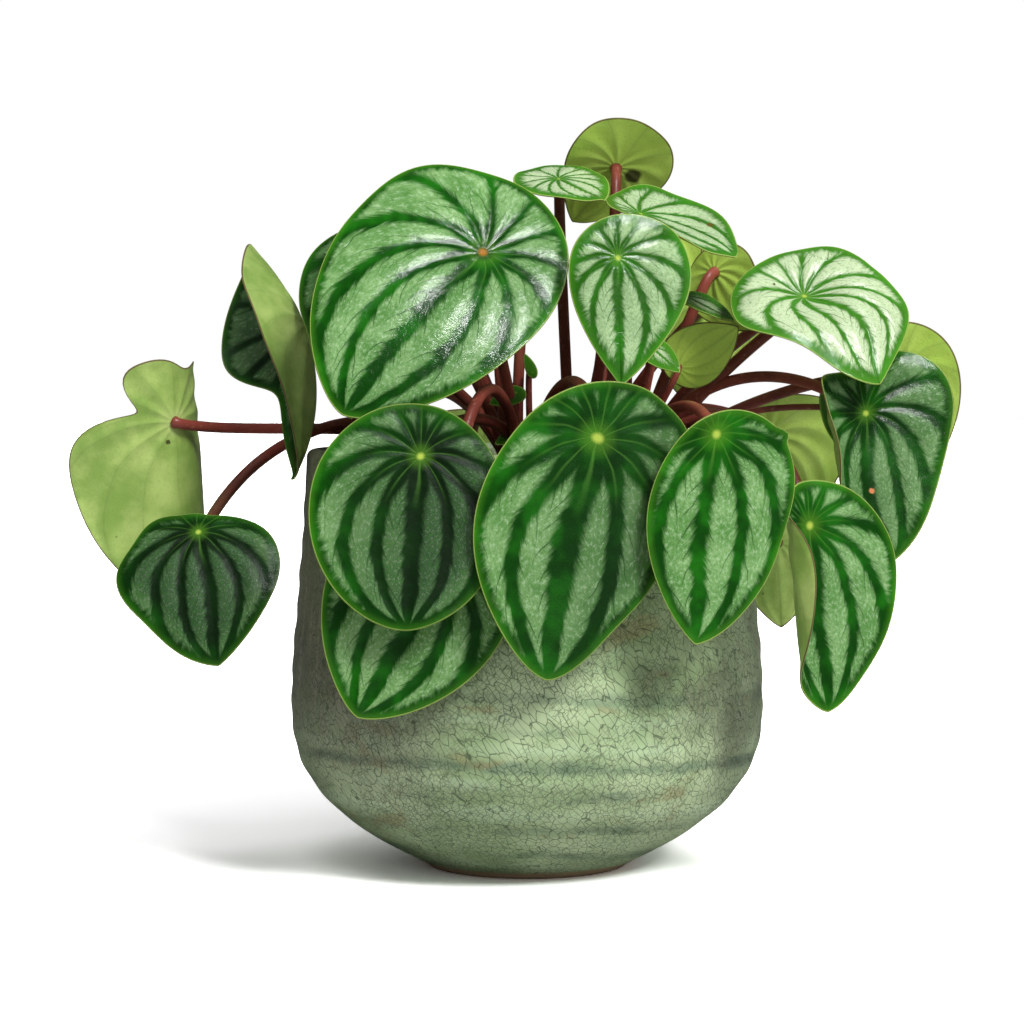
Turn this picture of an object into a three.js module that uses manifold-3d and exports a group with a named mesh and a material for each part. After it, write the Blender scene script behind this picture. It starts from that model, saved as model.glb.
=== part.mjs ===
// Potted peperomia: a pot with a rounded belly, its soil, three crowns of leaf stems and
// thirty-two shield-shaped leaves. Millimetres, +Z up, the pot's underside on z = 0,
// the pot's axis on the Z axis, the side that faces the viewer towards -Y.
import * as THREE from 'three';
import Module from 'manifold-3d';
import { mergeVertices } from 'three/addons/utils/BufferGeometryUtils.js';

// Driving dimensions
const POT_WIDEST_RADIUS = 90.3;
const POT_RIM_RADIUS = 83.9;
const POT_HEIGHT = 159;
const POT_FOOT_RADIUS = 38;
const POT_WALL = 7;
const POT_FLOOR = 10;
const SOIL_TOP = 145;
const NEIGHBOUR_GAP = 0.3;
const FACET_ALLOWANCE = 0.3;
const BLADE_THICKNESS = 1.0;
const STEM_RADIUS = 2.2;
const YOUNG_STEM_RADIUS = 1.3;
const STEM_KNEE = 9;
const STEM_CLEARANCE = 0.4;
const CROWN_RADIUS = 9;
const CROWN_SIDES = 16;
const CROWN_TOP = 150;
const CROWN_BOTTOM = 128;
const ROUND_SEGMENTS = 40;

const wasm = await Module();
wasm.setup();

// A closed geometry as a solid for joining and cutting, welded by position alone.
function toSolid(geometry) {
  const bare = geometry.clone();
  bare.deleteAttribute('normal');
  bare.deleteAttribute('uv');
  const welded = mergeVertices(bare, 1e-4);
  const positions = Float32Array.from(welded.attributes.position.array);
  const triangles = Uint32Array.from(welded.index.array);
  const shape = new wasm.Mesh({ numProp: 3, vertProperties: positions, triVerts: triangles });
  return new wasm.Manifold(shape);
}

// A solid back as a geometry.
function toGeometry(solid) {
  const shape = solid.getMesh();
  const geometry = new THREE.BufferGeometry();
  geometry.setAttribute('position', new THREE.BufferAttribute(shape.vertProperties, 3));
  geometry.setIndex(new THREE.BufferAttribute(shape.triVerts, 1));
  return geometry;
}

// A lathe body about +Z from a profile of radius and height pairs.
function latheAboutZ(profile, segments) {
  const points = profile.map(([radius, height]) => new THREE.Vector2(radius, height));
  const geometry = new THREE.LatheGeometry(points, segments);
  geometry.rotateX(Math.PI / 2);
  return geometry;
}

// Pot
// The outline from the foot over the rounded belly, a little tapered to the rim.
const POT_OUTSIDE = [
  [POT_FOOT_RADIUS, 0],
  [41, 2],
  [49.5, 6.5],
  [61, 13],
  [73, 22],
  [81, 31],
  [87, 41],
  [89.6, 52],
  [POT_WIDEST_RADIUS, 66],
  [89.6, 80],
  [88.3, 95],
  [86.8, 112],
  [85.4, 130],
  [84.3, 148],
  [POT_RIM_RADIUS, POT_HEIGHT - 2],
  [POT_RIM_RADIUS - 2.4, POT_HEIGHT],
  [POT_RIM_RADIUS - 5, POT_HEIGHT],
];
const POT_INSIDE = [
  [POT_RIM_RADIUS - POT_WALL, POT_HEIGHT - 3],
  [77.3, 148],
  [79.8, 112],
  [82.6, 80],
  [POT_WIDEST_RADIUS - POT_WALL, 66],
  [82.2, 52],
  [77, 38],
  [67, 26],
  [52, 16],
  [38, POT_FLOOR],
];

function makePot() {
  const profile = [[0, 0], ...POT_OUTSIDE, ...POT_INSIDE, [0, POT_FLOOR]];
  return latheAboutZ(profile, ROUND_SEGMENTS);
}

// Crowns
// Where each crown stands in the soil.
const CROWNS = { left: [0, 2], right: [36, 0], back: [18, 26] };

// Soil
// It follows the pot's inside at a small gap; a plain hole takes each crown.
function makeSoil() {
  const gap = NEIGHBOUR_GAP + FACET_ALLOWANCE;
  const side = POT_INSIDE.slice(2).reverse().map(([radius, height]) => [radius - gap, height]);
  const profile = [
    [0, POT_FLOOR + NEIGHBOUR_GAP],
    [38 - gap, POT_FLOOR + NEIGHBOUR_GAP],
    ...side.slice(1),
    [77.6 - gap, SOIL_TOP - 3],
    [70, SOIL_TOP],
    [0, SOIL_TOP],
  ];
  let soil = toSolid(latheAboutZ(profile, ROUND_SEGMENTS));
  for (const [x, y] of Object.values(CROWNS)) {
    const radius = CROWN_RADIUS + NEIGHBOUR_GAP + FACET_ALLOWANCE;
    const depth = SOIL_TOP - CROWN_BOTTOM + NEIGHBOUR_GAP;
    const hole = new THREE.CylinderGeometry(radius, radius, 2 * depth, CROWN_SIDES);
    hole.rotateX(Math.PI / 2);
    hole.translate(x, y, SOIL_TOP);
    soil = soil.subtract(toSolid(hole));
  }
  return toGeometry(soil);
}

// Leaves
// One row a leaf. att: where the stem meets the blade; tip: the blade's point; face: the way
// its upper side looks; width: the blade laid flat; base: length behind the stem over the length
// before it; cup, cup2: slope in degrees at the right and the left margin; fold: a fold along the
// midrib; bend: lengthwise arch; funnel: depth of the dimple at the stem; lean: turn of the
// outline about the tip; skew: more width on the left; hook: sideways bow; bumps: swellings
// and bays of the outline (angle from the tip, amount, spread); p, q: bluntness of the base
// and of the tip; stem: the two inner control points of the stem.
const LEAVES = {
  upper_left_large: {
    att: [-16, -50, 231], tip: [-65, -75, 172], face: [-0.15, -1, 0.45], width: 87, base: 0.42,
    cup: -12, bend: 12, funnel: 3, q: 0.68, lean: 6, bumps: [[-120, 0.12, 32]], crown: 'left',
  },
  upper_left_rear: {
    att: [-46, -24, 226], tip: [-64, -50, 171], face: [-0.8, -0.8, 0.2], width: 80, base: 0.5,
    cup: 10, bend: 10, skew: -0.2, bumps: [[-50, -0.1, 22], [-118, 0.26, 28]], crown: 'left',
  },
  left_folded: {
    att: [-86, 12, 205], tip: [-88, -19, 147], face: [-1, -0.12, 0.12], width: 76, base: 0.58,
    cup: 30, cup2: 5, fold: 48, foldRadius: 8, bend: -22, lean: -2, skew: -0.1,
    bumps: [[-48, -0.3, 26]],
    crown: 'left', stem: [[-10, 8, 185], [-66, 8, 206]],
  },
  far_left_cupped: {
    att: [-134, -5, 169], tip: [-131, 12, 95], face: [-0.64, 0.77, 0.1], width: 84, base: 0.34,
    cup: 40, cup2: 8, fold: 38, foldRadius: 10, q: 0.75,
    bumps: [[111, -0.55, 19], [-158, -0.22, 22]],
    crown: 'left', stem: [[-25, 14, 178], [-104, 54, 160]],
  },
  far_left_low: {
    att: [-121, -42, 129], tip: [-112, -62, 82], face: [-0.2, -0.75, 0.6], width: 62, base: 0.2,
    cup: -10, bend: 20, q: 0.8, lean: 5, hook: 2, crown: 'left',
    bumps: [[-40, -0.06, 20], [118, -0.22, 30], [-138, 0.26, 26]],
    stem: [[-30, 26, 180], [-112, 52, 188]],
  },
  front_left: {
    att: [-38, -92, 159], tip: [-42, -107, 99], face: [-0.05, -1, 0.2], width: 69, base: 0.3,
    q: 0.55, lean: 4, crown: 'left', stem: [[0, -10, 182], [-37, -68, 177]],
  },
  front_left_low: {
    att: [-28, -92, 121], tip: [-60, -92, 67], face: [-0.1, -1, 0], width: 66, base: 0.32,
    q: 0.7, lean: 4, crown: 'left', stem: [[-8, -50, 208], [-27, -100, 194]],
  },
  front_centre: {
    att: [24, -98, 165], tip: [6, -109, 81], face: [0.2, -1, 0.15], width: 71, base: 0.25,
    cup: -8, q: 0.66, lean: -6, skew: -0.13, hook: -3, crown: 'left',
    bumps: [[16, -0.07, 12], [121, 0.09, 22]],
    stem: [[6, -20, 200], [28, -60, 195]],
  },
  front_right: {
    att: [65, -100, 167], tip: [58, -105, 94], face: [0.2, -1, 0.15], width: 52, base: 0.13,
    cup: -15, q: 0.75, lean: -8, hook: -2, bumps: [[110, 0.2, 8]],
    crown: 'right', stem: [[48, -20, 185], [66, -74, 182]],
  },
  upper_centre: {
    att: [32, -66, 229], tip: [33, -80, 183], face: [0, -1, 0.5], width: 44, base: 0.35,
    cup: -12, q: 1, lean: -6, crown: 'right',
  },
  top_left: {
    att: [12, -14, 260], tip: [28, -36, 251], face: [0.15, -0.6, 0.8], width: 33, base: 0.6,
    crown: 'back',
  },
  top_upright: {
    att: [34, 6, 266], tip: [18, 22, 246], face: [-0.1, 0.9, 0.5], width: 40, base: 0.75,
    crown: 'back',
  },
  top_right: {
    att: [42, -32, 246], tip: [76, -45, 230], face: [0.1, -0.26, 1], width: 44, base: 0.42,
    cup: 26, skew: 0.1, q: 0.75, lean: -10, bumps: [[92, -0.26, 34]], crown: 'right',
  },
  top_rear: {
    att: [52, 26, 244], tip: [60, 20, 214], face: [0.1, 0.9, 0.5], width: 30, base: 0.3,
    crown: 'back',
  },
  right_rear_small: {
    att: [72, 6, 226], tip: [86, -2, 204], face: [0.2, 0.9, 0.5], width: 32, base: 0.35,
    crown: 'right', stem: [[44, 6, 175], [64, 2, 206]],
  },
  upper_right: {
    att: [103, -25, 216], tip: [126, -45, 181], face: [0.15, -0.9, 0.65], width: 64, base: 0.42,
    funnel: 7, bend: 15, cup: -15, hook: 8, bumps: [[168, 0.07, 25], [62, -0.13, 32]],
    crown: 'right', stem: [[55, 0, 172], [88, -10, 204]],
  },
  right_large: {
    att: [125, -36, 173], tip: [134, -50, 119], face: [0.1, -0.95, 0.2], width: 70, base: 0.42,
    cup: 110, cup2: 15, lean: -12, skew: -0.2, q: 0.9, hook: -5,
    bumps: [[88, -0.24, 50], [-130, -0.25, 28]],
    crown: 'right', stem: [[50, 0, 188], [100, -10, 205]],
  },
  right_low: {
    att: [101, -70, 133], tip: [107, -76, 67], face: [0.35, -0.9, 0.1], width: 66, base: 0.25,
    cup: 130, cup2: 0, q: 0.75, bumps: [[-124, -0.36, 34]],
    crown: 'right', stem: [[60, -10, 195], [108, -46, 170]],
  },
  far_right: {
    att: [144, 6, 188], tip: [157, 11, 152], face: [0.2, 0.9, 0.2], width: 42, base: 0.5,
    crown: 'right', stem: [[60, 2, 172], [115, 5, 192]],
  },
  right_over_rim: {
    att: [97, 50, 162], tip: [112, 56, 128], face: [0.1, 1, 0.2], width: 62, base: 0.4,
    crown: 'back', stem: [[30, 30, 180], [85, 38, 185]],
  },
  right_hanging: {
    att: [99, 36, 121], tip: [101, 38, 87], face: [0.1, 1, 0], width: 36, base: 0.4,
    crown: 'right', stem: [[60, 14, 195], [104, 24, 178]],
  },
  centre_rear: {
    att: [70, 30, 214], tip: [60, 30, 179], face: [0.1, 1, 0.1], width: 48, base: 0.6,
    crown: 'back',
  },
  young_pointed: {
    att: [57, -14, 190], tip: [79, -19, 205], face: [0, 1, 0.3], width: 24, base: 0.2,
    young: true, crown: 'right', stem: [[44, -2, 165], [52, -18, 180]],
  },
  young_small: {
    att: [46, -30, 197], tip: [56, -38, 188], face: [-0.1, -0.7, 0.8], width: 12, base: 0.4,
    young: true, crown: 'right', stem: [[42, -8, 170], [44, -22, 188]],
  },
  young_folded: {
    att: [59, -20, 216], tip: [77, -26, 207], face: [0.1, -0.5, 1], width: 14, base: 0.1,
    fold: 20, young: true, crown: 'right', stem: [[46, -6, 170], [42, -31, 202]],
  },
  right_inner: {
    att: [119, -8, 176], tip: [117, -16, 160], face: [0.3, -0.8, 0.3], width: 18, base: 0.6,
    young: true, crown: 'right', stem: [[60, -2, 176], [100, -5, 178]],
  },
  back_left: {
    att: [-24, 96, 152], tip: [-30, 106, 84], face: [-0.1, 1, 0.2], width: 74, base: 0.3,
    cup: -10, crown: 'left', stem: [[-8, 45, 195], [-22, 84, 188]],
  },
  back_right: {
    att: [42, 92, 154], tip: [46, 103, 82], face: [0.3, 1, 0.15], width: 70, base: 0.3,
    cup: -10, crown: 'back', stem: [[22, 50, 190], [38, 80, 190]],
  },
  back_far_left: {
    att: [-60, 76, 150], tip: [-68, 86, 92], face: [-0.7, 0.8, 0.1], width: 54, base: 0.3,
    cup: -10, crown: 'left', stem: [[-25, 30, 196], [-58, 66, 196]],
  },
  back_upper_left: {
    att: [-36, 45, 226], tip: [-42, 78, 188], face: [-0.3, 0.8, 0.7], width: 70, base: 0.4,
    cup: -15, crown: 'left',
  },
  back_upper: {
    att: [42, 62, 230], tip: [46, 86, 200], face: [0.1, 0.8, 0.7], width: 48, base: 0.4,
    cup: -10, crown: 'back',
  },
  back_upper_right: {
    att: [112, 14, 222], tip: [130, 34, 198], face: [0.6, 0.5, 0.7], width: 46, base: 0.4,
    crown: 'right', stem: [[50, 10, 185], [98, 6, 214]],
  },
};

const LEAF_DEFAULTS = {
  cup: 0, fold: 0, foldRadius: 4, bend: 0, funnel: 0, p: 0.5, q: 0.85, lean: 0, skew: 0,
  hook: 0, bumps: [], young: false,
};
const BOW_FACTOR = 16;
const DIMPLE_SPREAD = 0.22;
const ROLL_STEPS = 16;

// The blade's own axes: x along the midrib to the tip, z out of the upper side.
function bladeFrame(leaf) {
  const origin = new THREE.Vector3(...leaf.att);
  const along = new THREE.Vector3(...leaf.tip).sub(origin);
  const chord = along.length();
  along.normalize();
  const out = new THREE.Vector3(...leaf.face);
  out.addScaledVector(along, -out.dot(along)).normalize();
  const across = new THREE.Vector3().crossVectors(out, along);
  return { origin, along, across, out, chord };
}

// The outline of the blade laid flat, round the stem point, at the angle psi (0 at the tip).
// Half width = W/2 (u/um)^p ((1-u)/(1-um))^q with u = (1 + cos psi)/2 from base to tip.
function outlinePoint(leaf, length, psi) {
  const back = leaf.base * length;
  const full = length + back;
  const widest = leaf.p / (leaf.p + leaf.q);
  const u = (1 + Math.cos(psi)) / 2;
  const half = (leaf.width / 2) * (u / widest) ** leaf.p * ((1 - u) / (1 - widest)) ** leaf.q;
  const side = Math.abs(Math.sin(psi)) < 1e-9 ? 0 : Math.sign(Math.sin(psi));
  let x = u * full - back;
  let y = side * half * (1 + leaf.skew * side);
  const polar = THREE.MathUtils.radToDeg(Math.atan2(y, x));
  for (const [angle, amount, spread] of leaf.bumps) {
    const away = THREE.MathUtils.euclideanModulo(polar - angle + 180, 360) - 180;
    const swell = 1 + amount * Math.exp(-((away / spread) ** 2));
    x *= swell;
    y *= swell;
  }
  const lean = THREE.MathUtils.degToRad(leaf.lean);
  return [
    length + (x - length) * Math.cos(lean) - y * Math.sin(lean),
    (x - length) * Math.sin(lean) + y * Math.cos(lean),
  ];
}

// A point of the flat blade, rolled crosswise at constant arc length, dimpled at the stem
// and bent lengthwise into a circular arc.
function bladePoint(leaf, frame, length, x, flatY) {
  const t = Math.min(Math.max(x / length, 0), 1);
  const y = flatY + leaf.hook * BOW_FACTOR * t * t * (1 - t) * (1 - t);
  const distance = Math.abs(y);
  const fold = THREE.MathUtils.degToRad(leaf.fold);
  const cup = THREE.MathUtils.degToRad(y > 0 ? (leaf.cup2 ?? leaf.cup) : leaf.cup);
  let sideways = 0;
  let lift = 0;
  for (let step = 0; step < ROLL_STEPS; step += 1) {
    const arc = (distance * (step + 0.5)) / ROLL_STEPS;
    const slope = fold * (1 - Math.exp(-arc / leaf.foldRadius)) + (cup * arc) / (leaf.width / 2);
    sideways += (Math.cos(slope) * distance) / ROLL_STEPS;
    lift += (Math.sin(slope) * distance) / ROLL_STEPS;
  }
  sideways *= Math.sign(y);
  lift += leaf.funnel * (1 - Math.exp(-(x * x + y * y) / (DIMPLE_SPREAD * leaf.width) ** 2));
  const bend = THREE.MathUtils.degToRad(leaf.bend);
  let angle = 0;
  let forward = x;
  let rise = 0;
  if (Math.abs(bend) > 1e-3) {
    angle = bend * (1 - (2 * x) / length);
    const radius = length / (2 * bend);
    forward = radius * (Math.sin(bend) - Math.sin(angle));
    rise = radius * (Math.cos(angle) - Math.cos(bend));
  }
  return frame.origin.clone()
    .addScaledVector(frame.along, forward - lift * Math.sin(angle))
    .addScaledVector(frame.out, rise + lift * Math.cos(angle))
    .addScaledVector(frame.across, sideways);
}

// How finely a blade is divided: rings round the stem point and segments in each ring.
// Curled blades take more rings, blades with swellings more segments.
function bladeDivisions(leaf) {
  if (leaf.young) {
    return { rings: 2, segments: 12 };
  }
  const curled = Math.abs(leaf.cup) > 60 || leaf.fold > 30;
  return { rings: curled ? 4 : 3, segments: leaf.bumps.length > 0 ? 26 : 20 };
}

// A leaf blade: rings round the stem point, both faces triangulated alike, a closed margin.
function makeBlade(row) {
  const leaf = { ...LEAF_DEFAULTS, ...row };
  const frame = bladeFrame(leaf);
  const bend = THREE.MathUtils.degToRad(leaf.bend);
  const length = Math.abs(bend) > 1e-3 ? (frame.chord * bend) / Math.sin(bend) : frame.chord;
  const { rings, segments } = bladeDivisions(leaf);
  const middle = [bladePoint(leaf, frame, length, 0, 0)];
  for (let ring = 1; ring <= rings; ring += 1) {
    for (let step = 0; step < segments; step += 1) {
      const [x, y] = outlinePoint(leaf, length, (step * 2 * Math.PI) / segments);
      middle.push(bladePoint(leaf, frame, length, (x * ring) / rings, (y * ring) / rings));
    }
  }
  const faces = [];
  for (let step = 0; step < segments; step += 1) {
    const next = (step + 1) % segments;
    faces.push([0, 1 + step, 1 + next]);
    for (let ring = 1; ring < rings; ring += 1) {
      const inner = 1 + (ring - 1) * segments;
      const outer = inner + segments;
      faces.push([inner + step, outer + step, outer + next]);
      faces.push([inner + step, outer + next, inner + next]);
    }
  }
  const normals = middle.map(() => new THREE.Vector3());
  for (const [a, b, c] of faces) {
    const edge = middle[b].clone().sub(middle[a]);
    const normal = edge.cross(middle[c].clone().sub(middle[a]));
    for (const corner of [a, b, c]) {
      normals[corner].add(normal);
    }
  }
  const positions = [];
  for (const sign of [1, -1]) {
    middle.forEach((point, index) => {
      const shift = normals[index].clone().normalize().multiplyScalar(sign * BLADE_THICKNESS / 2);
      positions.push(...point.clone().add(shift).toArray());
    });
  }
  const count = middle.length;
  const index = [];
  for (const [a, b, c] of faces) {
    index.push(a, b, c);
    index.push(count + a, count + c, count + b);
  }
  const rim = 1 + (rings - 1) * segments;
  for (let step = 0; step < segments; step += 1) {
    const here = rim + step;
    const next = rim + ((step + 1) % segments);
    index.push(here, count + here, count + next);
    index.push(here, count + next, next);
  }
  const geometry = new THREE.BufferGeometry();
  geometry.setAttribute('position', new THREE.Float32BufferAttribute(positions, 3));
  geometry.setIndex(index);
  return geometry;
}

// A smooth curve drawn by any number of control points, by repeated halfway steps.
class ControlledCurve extends THREE.Curve {
  constructor(controls) {
    super();
    this.controls = controls;
  }

  getPoint(t) {
    let points = this.controls.map((point) => point.clone());
    while (points.length > 1) {
      points = points.slice(1).map((point, index) => points[index].clone().lerp(point, t));
    }
    return points[0];
  }
}

// A leaf stem: a round tube along a curve that leaves the crown upwards and meets the blade
// square from below.
function makeStem(row) {
  const leaf = { ...LEAF_DEFAULTS, ...row };
  const frame = bladeFrame(leaf);
  const [crownX, crownY] = CROWNS[leaf.crown];
  const outward = new THREE.Vector3(leaf.att[0] - crownX, leaf.att[1] - crownY, 0).normalize();
  const foot = new THREE.Vector3(crownX, crownY, SOIL_TOP).addScaledVector(outward, 5);
  const reach = frame.origin.distanceTo(foot);
  const bend = THREE.MathUtils.degToRad(leaf.bend);
  const under = frame.out.clone().multiplyScalar(Math.cos(bend));
  under.addScaledVector(frame.along, -Math.sin(bend));
  let first = foot.clone();
  first.addScaledVector(new THREE.Vector3(outward.x * 0.3, outward.y * 0.3, 1).normalize(), 0.4 * reach);
  let second = frame.origin.clone().addScaledVector(under, -0.25 * reach);
  if (leaf.stem) {
    [first, second] = leaf.stem.map((point) => new THREE.Vector3(...point));
  }
  const knee = frame.origin.clone().addScaledVector(under, -STEM_KNEE);
  const clear = BLADE_THICKNESS / 2 + STEM_CLEARANCE;
  const end = frame.origin.clone().addScaledVector(under, -clear);
  const path = new ControlledCurve([foot, first, second, knee, end]);
  return { path, radius: leaf.young ? YOUNG_STEM_RADIUS : STEM_RADIUS };
}

// The round section swept along the stem's curve.
function sweepStem({ path, radius }) {
  const section = new THREE.Shape();
  section.absarc(0, 0, radius, 0, 2 * Math.PI, false);
  return new THREE.ExtrudeGeometry(section, {
    steps: 12, curveSegments: 3, bevelEnabled: false, extrudePath: path,
  });
}

// A crown: a short stout stump in the soil with all its stems joined to it.
function makeCrown(name) {
  const [x, y] = CROWNS[name];
  const height = CROWN_TOP - CROWN_BOTTOM;
  const stump = new THREE.CylinderGeometry(CROWN_RADIUS - 1.5, CROWN_RADIUS, height, CROWN_SIDES);
  stump.rotateX(Math.PI / 2);
  stump.translate(x, y, (CROWN_TOP + CROWN_BOTTOM) / 2);
  let crown = toSolid(stump);
  for (const row of Object.values(LEAVES)) {
    if (row.crown === name) {
      crown = crown.add(toSolid(sweepStem(makeStem(row))));
    }
  }
  return toGeometry(crown);
}

// Materials and the finished group
function paint(colour, roughness) {
  return new THREE.MeshStandardMaterial({ color: colour, roughness, metalness: 0 });
}

const part = new THREE.Group();
part.name = 'potted_peperomia';

function addPiece(name, geometry, material) {
  const mesh = new THREE.Mesh(geometry, material);
  mesh.name = name;
  part.add(mesh);
}

addPiece('pot', makePot(), paint(0x8ea588, 0.3));
addPiece('soil', makeSoil(), paint(0x2c211a, 0.95));
for (const name of Object.keys(CROWNS)) {
  addPiece(`crown_${name}`, makeCrown(name), paint(0x6a3330, 0.5));
}
for (const [name, row] of Object.entries(LEAVES)) {
  addPiece(`leaf_${name}`, makeBlade(row), paint(row.young ? 0x7fa84a : 0x4f8a45, 0.35));
}

export default part;
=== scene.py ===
"""A potted watermelon peperomia: striped shield leaves on red-brown stems in a crackle-glazed pot."""
import math
from types import SimpleNamespace

import bpy
import numpy as np
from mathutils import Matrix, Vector


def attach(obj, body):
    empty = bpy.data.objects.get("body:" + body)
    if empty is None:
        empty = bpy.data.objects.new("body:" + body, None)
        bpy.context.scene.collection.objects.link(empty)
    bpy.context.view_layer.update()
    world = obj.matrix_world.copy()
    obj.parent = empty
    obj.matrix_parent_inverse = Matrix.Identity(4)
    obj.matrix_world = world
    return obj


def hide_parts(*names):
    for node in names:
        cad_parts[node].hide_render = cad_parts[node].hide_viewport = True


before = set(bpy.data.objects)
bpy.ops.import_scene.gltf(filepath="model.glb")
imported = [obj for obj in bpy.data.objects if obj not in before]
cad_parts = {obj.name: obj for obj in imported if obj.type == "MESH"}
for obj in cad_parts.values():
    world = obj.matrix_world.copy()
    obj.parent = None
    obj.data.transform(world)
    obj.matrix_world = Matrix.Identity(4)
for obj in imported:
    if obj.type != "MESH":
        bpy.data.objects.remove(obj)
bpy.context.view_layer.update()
MM = 0.001


# The pot
# A thrown stoneware cover pot, glazed sage green outside and in, fired so that the glaze crazed into
# a net of fine dark cracks. It stands on a narrow unglazed foot, and the plant's soil fills it.
POT_HEIGHT = 159.0
POT_FLOOR = 10.0
POT_FOOT = [(0.0, 0.0), (20.0, 0.0), (34.0, 0.0)]
POT_OUTSIDE = [
    (38.0, 0.0), (41.0, 2.0), (49.5, 6.5), (61.0, 13.0), (73.0, 22.0), (81.0, 31.0), (87.0, 41.0),
    (89.6, 52.0), (90.3, 66.0), (89.6, 80.0), (88.3, 95.0), (86.8, 112.0), (85.4, 130.0),
    (84.3, 148.0), (83.9, 156.0),
]
POT_INSIDE = [
    (77.2, 156.0), (77.3, 148.0), (79.8, 112.0), (82.6, 80.0), (83.3, 66.0), (82.2, 52.0),
    (77.0, 38.0), (67.0, 26.0), (52.0, 16.0), (38.0, POT_FLOOR), (0.0, POT_FLOOR),
]
POT_TURNS = 288
THROWING_RIDGE = 0.32
HAND_SHRINK = 0.3


def smooth_profile(points, steps):
    """Points along an open profile: a Catmull-Rom curve through the given points, evenly in arc length."""
    knots = np.asarray(points, float)
    padded = np.vstack([2 * knots[0] - knots[1], knots, 2 * knots[-1] - knots[-2]])
    t = np.linspace(0, 1, 24, endpoint=False)[:, None]
    pieces = []
    for a, b, c, d in zip(padded, padded[1:], padded[2:], padded[3:]):
        curve = 2 * b + (c - a) * t + (2 * a - 5 * b + 4 * c - d) * t ** 2 + (3 * b - a - 3 * c + d) * t ** 3
        pieces.append(curve / 2)
    curve = np.vstack(pieces + [knots[-1:]])
    run = np.concatenate([[0], np.cumsum(np.linalg.norm(np.diff(curve, axis=0), axis=1))])
    even = np.linspace(0, run[-1], steps)
    return np.stack([np.interp(even, run, curve[:, 0]), np.interp(even, run, curve[:, 1])], axis=1)


def mesh_piece(name, points, faces, materials, face_material=None):
    """A smooth-shaded mesh object from points in millimetres and a list of face index rows."""
    mesh = bpy.data.meshes.new(name)
    mesh.from_pydata((np.asarray(points) * MM).tolist(), [], faces)
    mesh.polygons.foreach_set("use_smooth", [True] * len(mesh.polygons))
    for material in materials:
        mesh.materials.append(material)
    if face_material is not None:
        mesh.polygons.foreach_set("material_index", face_material)
    mesh.update()
    piece = bpy.data.objects.new(name, mesh)
    bpy.context.scene.collection.objects.link(piece)
    return piece


def ring_faces(points, sides, first=0):
    """The faces of a closed body whose points are one end point, rings of so many points each, and
    the other end point: quads between the rings and a fan at each end. Seen from outside, the rings
    climb and each one runs to the right. Each quad is split from its corner number first."""
    step = 1 + np.arange(sides)
    following = np.roll(step, -1)
    base = np.arange((len(points) - 2) // sides - 1)[:, None] * sides
    corners = [base + step, base + following, base + sides + following, base + sides + step]
    quads = np.stack(corners[first:] + corners[:first], axis=2)
    last = base[-1, 0] + sides
    first_fan = np.stack([0 * step, following, step], axis=1)
    last_fan = np.stack([0 * step + len(points) - 1, last + step, last + following], axis=1)
    return quads.reshape(-1, 4).tolist() + first_fan.tolist() + last_fan.tolist()


def turned_points(profile, turns, wobble):
    """Points of a turned body: the profile's inner stations carried round +Z, each radius changed by
    wobble(angle, height), with one point on the axis at each end."""
    angle = np.linspace(0, 2 * np.pi, turns, endpoint=False)
    radius, height = profile[1:-1, :1], profile[1:-1, 1:]
    radius = radius + wobble(angle, height) * (radius > 2)
    ring = np.stack([radius * np.cos(angle), radius * np.sin(angle), height + 0 * angle], axis=2)
    return np.vstack([[[0, 0, profile[0, 1]]], ring.reshape(-1, 3), [[0, 0, profile[-1, 1]]]])


def throwing_ridges(angle, height):
    """Low ridges that run round the pot on a slight slant, from -1 in a groove to 1 on a crest."""
    slant = height + 2.5 * np.sin(angle + 0.6) + 1.2 * np.sin(2 * angle + 2.0)
    return (np.sin(slant * 0.52) + 0.6 * np.sin(slant * 0.23 + 1.0)) / 1.6


def pot_wobble(angle, height):
    """The throwing ridges and a hand-thrown unevenness, none of it at the foot and the rim."""
    thrown = np.clip((height - 6) / 14, 0, 1) * np.clip((150 - height) / 12, 0, 1)
    uneven = 0.22 * np.sin(2 * angle + 0.4) + 0.12 * np.sin(3 * angle + height * 0.03)
    return thrown * (THROWING_RIDGE * throwing_ridges(angle, height) + uneven - HAND_SHRINK)


def rounded_rim():
    """The half circle that joins the outer wall to the inner wall over the top of the rim."""
    inner, outer = POT_INSIDE[0][0], POT_OUTSIDE[-1][0]
    middle, reach = (inner + outer) / 2, (outer - inner) / 2
    turn = np.linspace(0, np.pi, 13)[1:-1]
    lift = POT_HEIGHT - POT_OUTSIDE[-1][1]
    return np.stack([middle + reach * np.cos(turn), POT_OUTSIDE[-1][1] + lift * np.sin(turn)], axis=1)


class Value:
    """A number, place or colour on a node sheet. Arithmetic with it adds the node that does it."""

    def __init__(self, sheet, socket):
        self.sheet = sheet
        self.socket = socket

    def __add__(self, other):
        return self.sheet.calc("ADD", self, other)

    def __sub__(self, other):
        return self.sheet.calc("SUBTRACT", self, other)

    def __rsub__(self, other):
        return self.sheet.calc("SUBTRACT", other, self)

    def __mul__(self, other):
        return self.sheet.calc("MULTIPLY", self, other)

    def __truediv__(self, other):
        return self.sheet.calc("DIVIDE", self, other)

    def __pow__(self, other):
        return self.sheet.calc("POWER", self, other)

    def __abs__(self):
        return self.sheet.calc("ABSOLUTE", self)


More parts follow.
